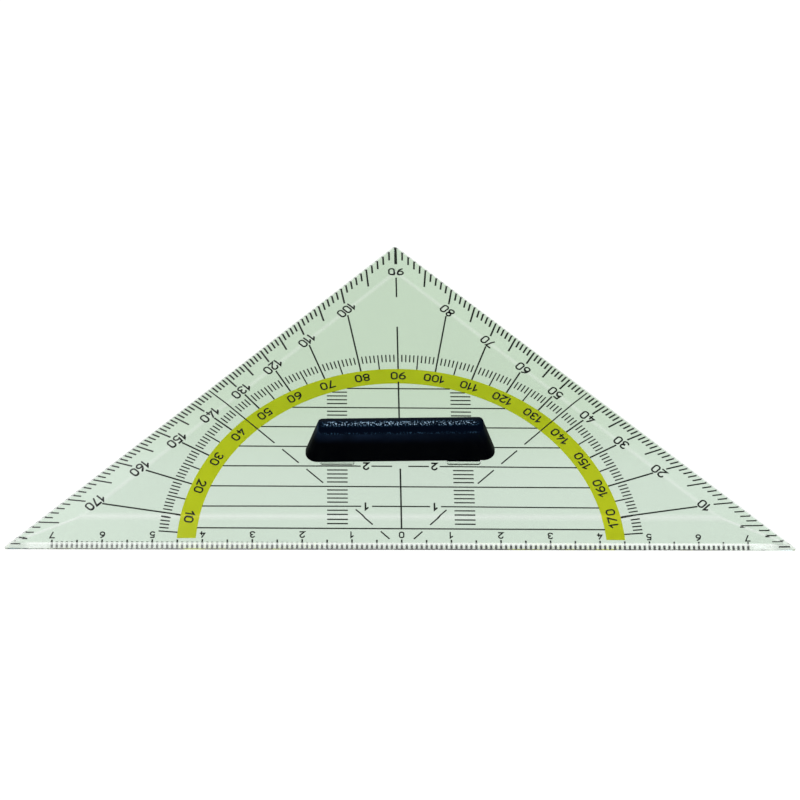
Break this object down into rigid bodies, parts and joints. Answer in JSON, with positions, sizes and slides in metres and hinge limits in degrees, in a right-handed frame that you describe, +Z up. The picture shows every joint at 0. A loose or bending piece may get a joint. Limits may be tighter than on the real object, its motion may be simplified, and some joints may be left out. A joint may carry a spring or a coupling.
{
  "type": "set square",
  "caption": "Clear 45 degree drafting triangle with bevelled edges, printed ruler, parallel lines and protractor, and a pull-off black grip handle.",
  "frame": {"origin": "the zero mark at the middle of the hypotenuse, on the plate's underside", "axes": "+X along the hypotenuse, +Y towards the right-angled corner, +Z up through the handle"},
  "size_m": [0.1592, 0.0794, 0.0133],
  "materials": {
    "clear_plate": "clear, faint green tint",
    "black_plastic": "fine grained top, satin flanks",
    "yellow_ink": "printed film",
    "black_ink": "printed film"
  },
  "bodies": {
    "plate": {"triangle_plate": "clear_plate", "protractor_band": "yellow_ink", "ruler_marks": "black_ink", "leg_degree_marks": "black_ink", "ring_degree_marks": "black_ink", "degree_rays": "black_ink", "parallel_lines": "black_ink", "ladder_marks": "black_ink", "diagonal_dashes": "black_ink"},
    "grip": {"handle": "black_plastic"}
  },
  "joints": [
    {"name": "handle_pull", "type": "slide", "parent": "plate", "child": "grip", "axis": [0, 0, 1], "range_m": [0, 0.012]}
  ]
}
